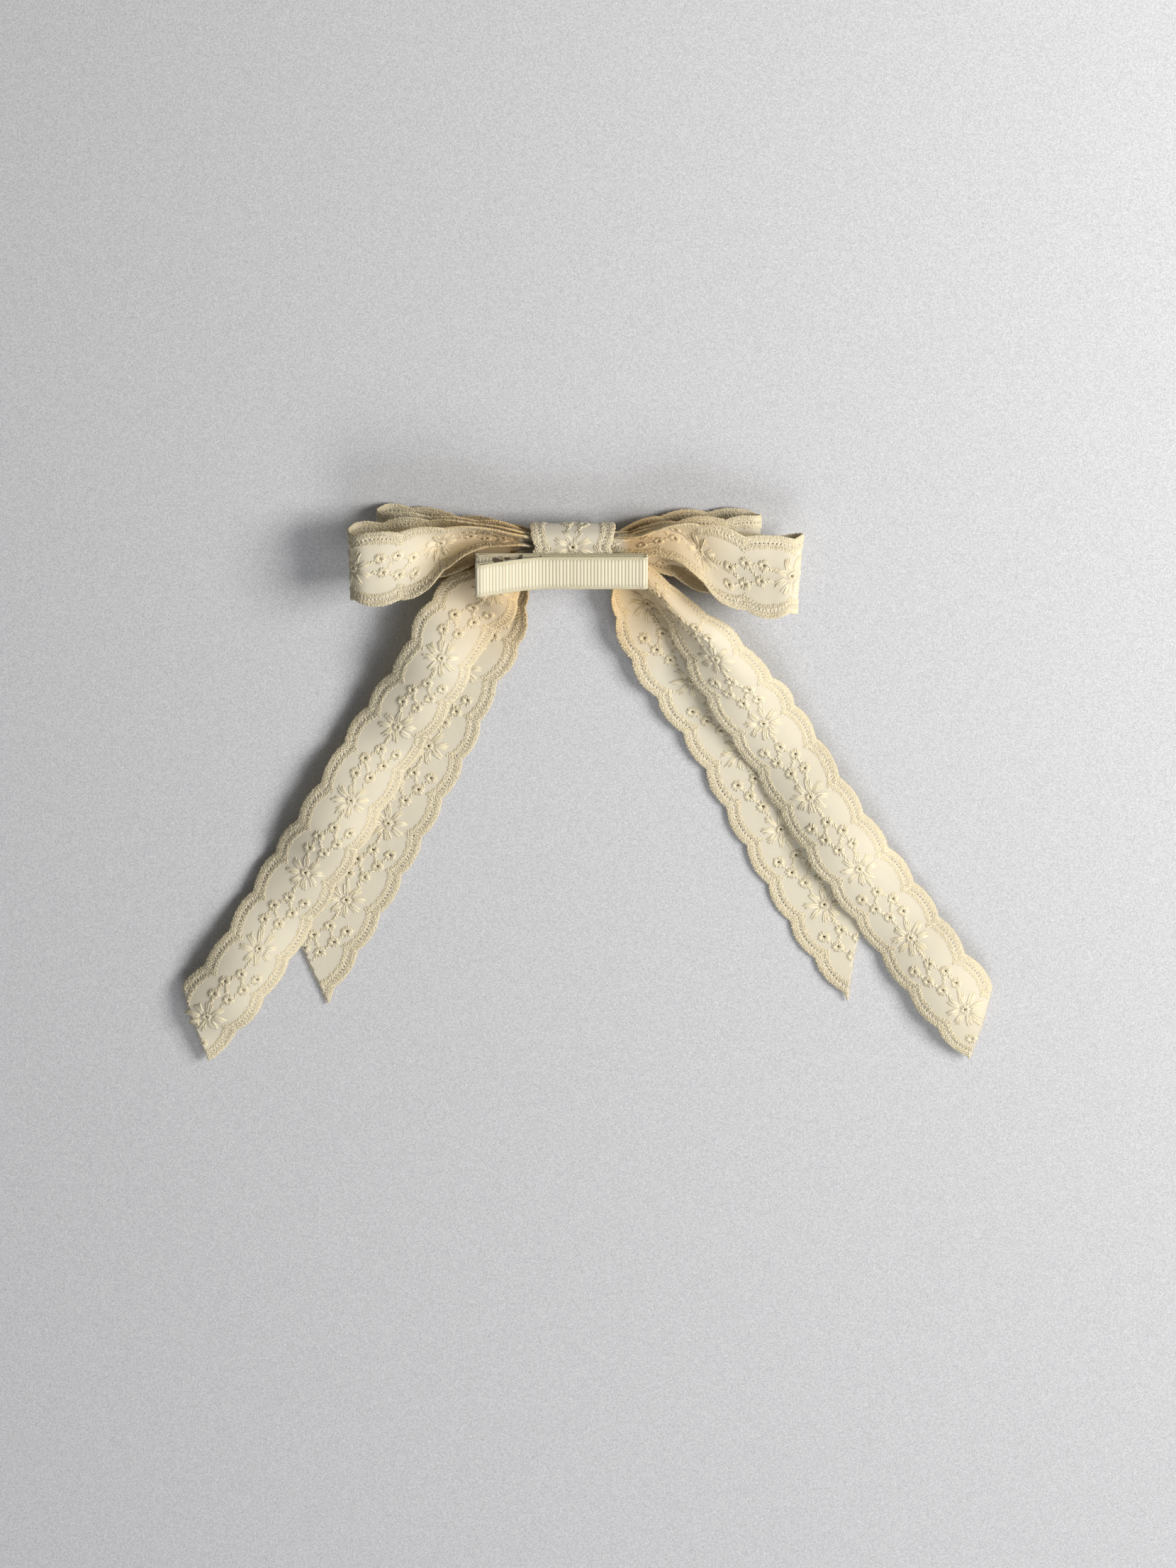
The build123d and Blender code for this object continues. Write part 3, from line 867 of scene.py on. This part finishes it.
# ---- loops ----
lace_length("left_back_loop", [
    ((-7, 83.5, 14.7), (-7, 76, 14.7), PLEATS, 0.2),
    ((-17.5, 86.8, 14.9), (-17.5, 83.9, 15.3), (1,), 0.22, -0.4),
    ((-23.2, 88.8, 17), (-24, 84.6, 16.8), (1,), 0.3, -0.4),
    ((-27.8, 90.5, 18), (-28.5, 84.3, 17.4), (1,), 0.38, -0.4),
    ((-35.9, 91.8, 19), (-36.2, 82.4, 18.4), (1,), 0.5, -0.35),
    ((-41.5, 92.1, 19.8), (-41.5, 78.0, 19.7), (1,), 0.6, -0.3),
    ((-48, 92.4, 20.7), (-47.6, 72.2, 21.0), (1,), 0.8),
    ((-54, 92.2, 21.2), (-54, 68.4, 21.4), (1,), 0.5),
    ((-62, 91.2, 21.5), (-62, 67.2, 21.5), (1,), 0),
    ((-68.2, 90.6, 20.2), (-67.6, 67.0, 20.2), (1,), 0),
    ((-70.6, 90.4, 17.0), (-69.9, 66.8, 16.8), (1,), 0),
    ((-68.6, 90.6, 13.6), (-67.8, 66.8, 13.4), (1,), 0),
    ((-62, 91.2, 12.4), (-62, 67.0, 12.3), (1,), 0),
    ((-52, 92.2, 12.8), (-52, 68.6, 12.6), (-1,), 0),
    ((-42, 91.6, 13.4), (-42, 73, 12.8), (-1,), 0.5),
    ((-32, 90.8, 14.4), (-32, 76.5, 12.9), (-1,), 0.3),
    ((-24, 89.4, 14.8), (-24, 77.5, 12.9), (-1,), 0.2),
    ((-17.5, 87.0, 13.6), (-17.5, 78, 13.4), (-1, 0, 0.5), 0.2),
    ((-7, 85, 13.4), (-7, 75, 13.4), PLEATS, 0.2),
], phase=24.8, seed=11)

lace_length("right_back_loop", [
    ((-2, 83.5, 14.7), (-2, 76, 14.7), PLEATS, 0.2),
    ((8.4, 86.2, 14.6), (8.4, 81.5, 15.1), (-1,), 0.25, -0.4),
    ((14.9, 87.2, 16.2), (15, 81.0, 16.4), (-1,), 0.35, -0.4),
    ((19.2, 89.0, 17.0), (20, 80.9, 17.2), (-1,), 0.4, -0.4),
    ((24, 91.0, 17.0), (26.6, 80.3, 18.6), (-1,), 0.45, -0.4),
    ((29.5, 91.8, 16.4), (31, 77.3, 20.4), (-1,), 0.55, -0.3),
    ((37, 91.0, 15.6), (37.5, 70.3, 22.3), (-1,), 0.8),
    ((45, 88.4, 14.6), (45.5, 66.0, 23.4), (-1,)),
    ((54, 86.6, 13.6), (53, 64.2, 23.8), (-1,), 0.3),
    ((60.6, 86.2, 12.0), (59.2, 64.1, 23.0), (-1,), 0),
    ((63.6, 85.6, 9.4), (61.6, 63.9, 20.0), (1,), 0),
    ((61.4, 84.2, 6.9), (60, 63.6, 17.0), (1,), 0),
    ((56, 83.9, 6.6), (54, 64.2, 15.8), (1,), 0),
    ((46, 84.8, 7.8), (44, 66.0, 14.0), (1,), 0.3),
    ((34, 87.5, 9.8), (33, 68.2, 12.8), (1,), 0.5),
    ((24, 89.4, 12.5), (22, 73.4, 12.4), (1,), 0.3),
    ((15, 88.0, 13.8), (14, 77, 12.9), (1,), 0.25),
    ((8.4, 86.4, 13.4), (8.4, 77.5, 13.4), (1, 0, 0.5), 0.2),
    ((-2, 85, 13.4), (-2, 75, 13.4), PLEATS, 0.2),
], phase=25.3, seed=12)

lace_length("left_front_loop", [
    ((-7, 84, 9.9), (-7, 75, 9.9), PLEATS, 0.2),
    ((-17.5, 87.0, 10.2), (-17.5, 74.5, 9.8), (1, 0, 0.4), 0.3),
    ((-26, 89.6, 10.2), (-26, 74, 9.4), (1,), 0.2),
    ((-36, 90.4, 9.6), (-36, 70.5, 8.4), (1,), 0.3),
    ((-46, 91.4, 9.2), (-46, 68.5, 7.8), (1,), 0.5),
    ((-54, 92.0, 8.6), (-54, 67.8, 7.4), (1,), 0),
    ((-60, 91.8, 7.2), (-60, 67.6, 6.4), (1,), 0),
    ((-62.3, 91.4, 4.6), (-62, 67.4, 3.9), (1,), 0),
    ((-60, 91.6, 2.3), (-60, 67.8, 2.0), (1,), 0),
    ((-53, 91.4, 1.4), (-53, 68.2, 1.3), (1,), 0),
    ((-44, 89.6, 1.6), (-44, 68, 1.3), (1,), 0),
    ((-34, 88.6, 3.2), (-34, 69.5, 2.2), (1,), 0.2),
    ((-26, 88.4, 6.0), (-26, 72, 4.8), (1,), 0.2),
    ((-17.5, 86.8, 8.6), (-17.5, 75, 8.4), (1, 0, 0.4), 0.2),
    ((-7, 84, 8.7), (-7, 75, 8.7), PLEATS, 0.2),
], phase=9.0, seed=13)

lace_length("right_front_loop", [
    ((-2, 84, 9.9), (-2, 75, 9.9), PLEATS, 0.2),
    ((8.4, 86.4, 10.2), (8.4, 74.5, 9.8), (1, 0, 0.4), 0.2),
    ((17, 88.2, 9.8), (17, 73.5, 9.0), (1,), 0.2),
    ((27, 90.0, 8.2), (27, 70, 7.8), (1,), 0.1),
    ((37, 90.0, 7.0), (37, 67, 6.8), (1,), 0.1),
    ((45, 90.0, 6.6), (45, 66, 6.6), (1,), 0),
    ((49.6, 89.6, 5.6), (49.6, 65.4, 5.4), (1,), 0),
    ((51, 89.4, 3.6), (51, 65, 3.6), (1,), 0),
    ((49.6, 89.8, 2.1), (49.6, 65.2, 2.0), (1,), 0),
    ((44, 90.0, 1.5), (44, 65.4, 1.3), (1,), 0),
    ((34, 90.0, 1.6), (34, 66, 1.4), (1,), 0),
    ((24, 89.6, 3.0), (24, 68.5, 2.6), (1,), 0.05),
    ((16, 88.4, 6.0), (16, 72, 5.2), (1,), 0.2),
    ((8.4, 86.2, 8.6), (8.4, 75, 8.4), (1, 0, 0.4), 0.2),
    ((-2, 84, 8.7), (-2, 75, 8.7), PLEATS, 0.2),
], phase=20.0, seed=14)

# ---- tails ----
lace_length("left_upper_tail", [
    ((-7, 84, 12.3), (-7, 76, 12.3), PLEATS, 0.2),
    ((-17.5, 82.0, 12.4), (-17.5, 74.8, 12.2), (-1,), 0.1),
    ((-30, 77.6, 12.4), (-20.3, 67.0, 11.8), (-1,), 0.3),
    ((-37, 75.2, 12.4), (-20.4, 63.0, 11.4), (-1,), 0.6),
    ((-43.2, 70.8, 11.4), (-22.7, 57.0, 9.8), (-1,), 0.9),
    ((-49.8, 61.8, 9.4), (-29.2, 50.0, 7.6), (-1,), 0.8),
    ((-56.2, 46.4, 7.0), (-36.9, 34.5, 5.4), (-1,), 0.4),
    ((-67.8, 26.2, 4.8), (-48.2, 14.5, 3.6), (-1,), 0.4),
    ((-78.6, 7.4, 3.2), (-58.8, -4.2, 2.6), (-1,), 0.4),
    ((-91.3, -15.2, 2.3), (-71.5, -26.8, 2.2), (-1,), 0.4),
    ((-104.6, -39.3, 1.8), (-84.8, -50.8, 2.0), (-1,), 0.4),
    ((-117.9, -60.3, 1.2), (-98.1, -71.9, 1.7), (-1,), 0.4),
    ((-134.4, -80.7, 0.8), (-113.9, -93.0, 1.4), (-1,), 0.4),
], phase=10.6, slant=19.7, seed=15, ripple=4.4,
    ripple_length=60.0, shift=0.267)

lace_length("right_upper_tail", [
    ((-2, 84, 12.3), (-2, 76, 12.3), PLEATS, 0.2),
    ((8.4, 82.0, 12.4), (8.4, 75.2, 12.2), (1,), 0.1),
    ((19, 75.6, 12.6), (13.8, 71.6, 11.4), (1,), 0.12),
    ((30.8, 64.6, 11.6), (20.6, 61.5, 9.6), (1, 0.4), 0.3),
    ((41.4, 56.5, 9.2), (25.4, 49.8, 7.8), (1, 0.4), 0.5),
    ((51.6, 44.2, 6.8), (30.4, 38.0, 5.6), (1, 0.2), 0.5),
    ((60.0, 33.0, 5.2), (38.6, 22.9, 4.0), (1,), 0.4),
    ((67.8, 19.2, 4.0), (48.2, 6.6, 2.9), (1,), 0.4),
    ((77.3, 3.0, 3.2), (57.8, -10.3, 2.4), (1,), 0.4),
    ((93.7, -23.4, 2.3), (74.3, -37.0, 2.0), (1,), 0.4),
    ((109.2, -46.6, 1.7), (90.1, -61.0, 1.7), (1,), 0.4),
    ((121.8, -64.2, 1.2), (103.5, -79.3, 1.6), (1,), 0.4),
    ((132.6, -77.1, 0.8), (114.7, -92.2, 1.4), (1,), 0.4),
], phase=8.6, slant=16.5, seed=16, ripple=3.2,
    ripple_length=62.0, shift=0.2)

lace_length("left_lower_tail", [
    ((-7, 84, 11.1), (-7, 75.5, 11.1), PLEATS, 0.2),
    ((-17.5, 80.0, 11.0), (-17.3, 73, 10.6), (1,), 0.1),
    ((-28, 73.5, 9.6), (-17.6, 65.5, 9.4), (1,), 0.12),
    ((-36.6, 65.6, 7.6), (-17.8, 57.5, 7.6), (1,), 0.2),
    ((-42.2, 57.4, 5.0), (-19.2, 47.6, 5.2), (1,), 0.4),
    ((-49.3, 43.3, 2.8), (-26.3, 33.0, 3.2), (-1,), 0.4),
    ((-56.4, 24.3, 1.7), (-33.3, 14.0, 1.6), (-1,), 0.4),
    ((-68.8, -2.5, 1.2), (-45.9, -12.8, 1.1), (-1,), 0.4),
    ((-81.4, -28.2, 0.9), (-58.5, -38.5, 1.0), (-1,), 0.4),
    ((-94.3, -51.7, 0.8), (-71.4, -62.0, 0.9), (-1,), 0.4),
    ((-101.1, -63.1, 0.7), (-78.2, -73.4, 0.8), (-1,), 0.4),
], phase=8.3, slant=22.0, seed=17, ripple=0.4,
    ripple_length=45.0)

lace_length("right_lower_tail", [
    ((-2, 84, 11.1), (-2, 75.5, 11.1), PLEATS, 0.2),
    ((8.4, 80.0, 11.0), (8.2, 73, 10.6), (-1,), 0.1),
    ((17, 74.5, 9.8), (7.2, 67.5, 9.4), (-1,), 0.12),
    ((24.5, 67.0, 7.6), (7.0, 61.0, 8.0), (-1,), 0.2),
    ((31.5, 59.5, 5.4), (8.2, 51.8, 6.0), (-1,), 0.4),
    ((36.4, 50.5, 4.0), (12.7, 39.6, 4.6), (1,), 0.4),
    ((43.4, 39.5, 2.8), (20.4, 27.0, 3.0), (1,), 0.4),
    ((53.4, 23.5, 1.8), (30.4, 11.0, 2.0), (1,), 0.4),
    ((65.4, -1.0, 1.2), (42.5, -13.5, 1.2), (1,), 0.4),
    ((76.9, -24.0, 0.9), (54.1, -36.5, 0.9), (1,), 0.4),
    ((89.4, -46.0, 0.8), (66.8, -58.4, 0.8), (1,), 0.4),
    ((98.6, -60.6, 0.7), (78.2, -72.9, 0.8), (1,), 0.4),
], phase=3.8, slant=28.0, seed=18, ripple=0.4,
    ripple_length=50.0)

# ---- knot band ----
knot_low, knot_high = (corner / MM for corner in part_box("knot_band"))
KNOT_WALL = 0.55
KNOT_CORNER = 2.6


def knot_run():
    """Round the gathered bundle, from under the clip and back to it, as (y, z) points."""
    near = knot_low.y + KNOT_WALL + KNOT_CORNER
    far = knot_high.y - KNOT_WALL - KNOT_CORNER
    bottom = knot_low.z + KNOT_WALL + KNOT_CORNER
    top = knot_high.z - KNOT_WALL - KNOT_CORNER
    start = (near + far) / 2 - 2
    run = [(start, top + KNOT_CORNER - 0.1)]
    for y, z, turn in ((near, top, 90), (near, bottom, 180), (far, bottom, 270), (far, top, 360)):
        for step in (10, 45, 80):
            angle = math.radians(turn + step)
            run.append((y + KNOT_CORNER * math.cos(angle), z + KNOT_CORNER * math.sin(angle)))
        if turn == 180:
            run.append(((near + far) / 2, bottom - KNOT_CORNER))
    run.append((start, top + KNOT_CORNER + 0.05))
    return run


lace_length("knot_band", [
    ((knot_high.x, y, z), (knot_low.x, y, z), (0.1, 0.2, 0.5, 1.0), 3.0) for y, z in knot_run()
], phase=19.8, seed=19)


# ---- grosgrain linings ----
def ribbon_stitches(length):
    """Ribs across the ribbon, and the close weave of its two selvedges."""
    rib_reach = RIBBON - 2 * SELVEDGE + 0.5
    ribs = [(u, 0.0, math.pi / 2, rib_reach, 1.1, 0.36) for u in np.arange(0.5, length, RIB_PITCH)]
    edge = []
    for u in np.arange(0.15, length - 0.1, RIB_PITCH / 3):
        for side in (1, -1):
            outer = side * (RIBBON / 2 - 0.3)
            edge.append((u, outer, math.pi / 2, 0.6, 0.36, 0.4))
            edge.append((u + RIB_PITCH / 6, outer - side * 0.45, math.pi / 2, 0.7, 0.36, 0.44))
    return ribs, edge


def ribbon_lining(node, body, path, seed):
    """A grosgrain ribbon along a path of (x, z) points in the clip's middle plane."""
    low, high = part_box(node)
    near = low.y / MM
    far = high.y / MM
    lay = Lay(RIBBON, [((x, far, z), (x, near, z)) for x, z in path])
    steps = int(lay.length / 0.34)
    lanes = 14
    us = np.linspace(0, lay.length, steps + 1)
    vs = np.linspace(-RIBBON / 2 + 0.12, RIBBON / 2 - 0.12, lanes + 1)
    flat = np.array([(u, v) for u in us for v in vs])
    faces = []
    for i in range(steps):
        for j in range(lanes):
            corner = i * (lanes + 1) + j
            faces.append([corner, corner + lanes + 1, corner + lanes + 2, corner + 1])
    points, faces = slab(flat, faces, RIBBON_CORE)
    mesh = bpy.data.meshes.new(node + "_ground")
    mesh.from_pydata(lay.place(points).tolist(), [], faces)
    remember_flat(mesh, points)
    ground = new_object(node + "_ground", mesh, RIB_GROUND_PAINTED_SHADE)
    ribs, edge = ribbon_stitches(lay.length)
    pieces = []
    for label, rows, thread, blunt, wander, sides in (
        ("ribs", ribs, RIB_THREAD, 200.0, 0.0, 8), ("selvedge", edge, SELVEDGE_THREAD, 3.0, 0.2, 4),
    ):
        mesh = sew(rows, thread, seed, blunt=blunt, wander=wander, uneven=0.05, sides=sides)
        points = points_of(mesh)
        remember_flat(mesh, points)
        mesh.vertices.foreach_set("co", lay.place(points).ravel())
        pieces.append(new_object(node + "_" + label, mesh, thread))
    for piece in [ground, *pieces]:
        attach(piece, body)
    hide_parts(node)


base_low, base_high = (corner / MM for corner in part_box("base_ribbon"))
top_low, top_high = (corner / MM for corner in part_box("top_ribbon"))
# Half the thickness of the ribbon, and how far the cover lies above the lining
HALF_RIBBON = 0.225
COVER_RISE = 1.05
FACE = COVER_RISE / 2
LEVER_RUN = 16.7
LEVER_RISE = 6.0
base_floor = base_low.z + HALF_RIBBON
base_roof = base_high.z - HALF_RIBBON
base_middle = (base_roof + base_floor) / 2
base_left = base_low.x + HALF_RIBBON
base_right = base_high.x - HALF_RIBBON
ribbon_lining("base_ribbon", "bow", [
    (-28.3, base_roof), (-31.0, base_roof), (base_left + 0.5, base_roof), (base_left, base_middle),
    (base_left + 0.5, base_floor), (-31.0, base_floor), (-25, base_floor), (-10, base_floor),
    (5, base_floor), (15, base_floor), (base_right - 0.5, base_floor), (base_right, base_middle),
    (base_right - 0.5, base_roof), (15, base_roof), (5, base_roof), (-10, base_roof), (-19.4, base_roof),
], seed=31)

lining = top_low.z + HALF_RIBBON
cover = lining + COVER_RISE
middle = (lining + cover) / 2
tip = top_high.x - HALF_RIBBON
slope = np.array([-LEVER_RUN, LEVER_RISE]) / math.hypot(LEVER_RUN, LEVER_RISE)
normal = np.array([LEVER_RISE, LEVER_RUN]) / math.hypot(LEVER_RUN, LEVER_RISE)
lever_end = np.array([-32.7, middle + LEVER_RISE])


def by_lever(back, above):
    """A point that far back from the lever's end, and that far above its middle."""
    return tuple(lever_end - slope * back + normal * above)


ribbon_lining("top_ribbon", "top_jaw", [
    (-13.8, lining), (-5, lining), (5, lining), (15, lining), (tip - 0.5, lining), (tip, middle),
    (tip - 0.5, cover), (15, cover), (5, cover), (-5, cover), (-11.5, cover), (-14.0, cover + 0.12),
    (-16.6, cover + 0.62), by_lever(14.0, FACE), by_lever(9.0, FACE), by_lever(4.0, FACE),
    by_lever(0.2, FACE), by_lever(-0.5, 0.0), by_lever(0.2, -FACE), by_lever(2.5, -FACE),
    by_lever(5.4, -FACE),
], seed=32)

# ---- hard parts ----
nickel = steel_material("nickel_plated_steel", (0.86, 0.84, 0.82), 0.24)
wire = steel_material("spring_wire", (0.70, 0.69, 0.68), 0.34)
glue = glue_material()
# The winding thread's colour carries painted shade where it dips low
winding = thread_material("winding_thread", linear(0.80, 0.74, 0.60), linear(0.93, 0.89, 0.78), 0.0)
for node, material in (
    ("clip_base_arm", nickel), ("clip_top_arm", nickel), ("pivot_pin", nickel),
    ("glue_pad", glue), ("cinch_thread", winding),
):
    nodes[node].data.materials.clear()
    nodes[node].data.materials.append(material)

# The spring winds about its pin: a copy of its mesh takes the CAD node's place
spring_mesh = nodes["torsion_spring"].data.copy()
spring_mesh.materials.clear()
spring = new_object("wound_spring", spring_mesh, wire)
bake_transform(spring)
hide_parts("torsion_spring")

# ---- floor, light and camera ----
floor_mesh = bpy.data.meshes.new("floor")
FLOOR_REACH = 3.0
FLOOR_HEIGHT = -0.0002
floor_mesh.from_pydata(
    [(x * FLOOR_REACH, y * FLOOR_REACH, FLOOR_HEIGHT) for x, y in ((-1, -1), (1, -1), (1, 1), (-1, 1))],
    [], [(0, 1, 2, 3)],
)
floor_mesh.materials.append(floor_material())
floor = bpy.data.objects.new("floor", floor_mesh)
bpy.context.scene.collection.objects.link(floor)


def area_light(name, place, target, size, watts, colour):
    light = bpy.data.lights.new(name, "AREA")
    light.size = size
    light.energy = watts
    light.color = colour
    holder = bpy.data.objects.new(name, light)
    holder.location = place
    holder.rotation_euler = (Vector(target) - Vector(place)).to_track_quat("-Z", "Y").to_euler()
    bpy.context.scene.collection.objects.link(holder)


area_light("key", (0.72, 0.30, 0.66), (0.0, 0.0, 0), 0.45, 12.5, (1.0, 0.985, 0.965))
area_light("fill", (0.3, -0.9, 0.95), (0, -0.1, 0), 0.9, 8.0, (0.98, 0.985, 1.0))

world = bpy.data.worlds.new("studio")
world.use_nodes = True
background = world.node_tree.nodes["Background"]
background.inputs["Color"].default_value = (0.95, 0.97, 1.0, 1)
background.inputs["Strength"].default_value = 0.2
bpy.context.scene.world = world
bpy.context.scene.view_settings.view_transform = "Standard"

ELEVATION = math.radians(65)
SENSOR = 36.0
DISTANCE = 4.0
VIEW_HEIGHT = 0.4686
TARGET = Vector((0, -0.0007, 0))
toward = Vector((0, math.cos(ELEVATION), math.sin(ELEVATION)))
image_up = Vector((0, math.sin(ELEVATION), -math.cos(ELEVATION)))
image_right = image_up.cross(toward)
camera_data = bpy.data.cameras.new("camera")
camera_data.sensor_fit = "VERTICAL"
camera_data.sensor_height = SENSOR
camera_data.lens = SENSOR * DISTANCE / VIEW_HEIGHT
camera = bpy.data.objects.new("camera", camera_data)
turned = Matrix((image_right, image_up, toward)).transposed()
camera.matrix_world = Matrix.Translation(TARGET + toward * DISTANCE) @ turned.to_4x4()
bpy.context.scene.collection.objects.link(camera)
bpy.context.scene.camera = camera
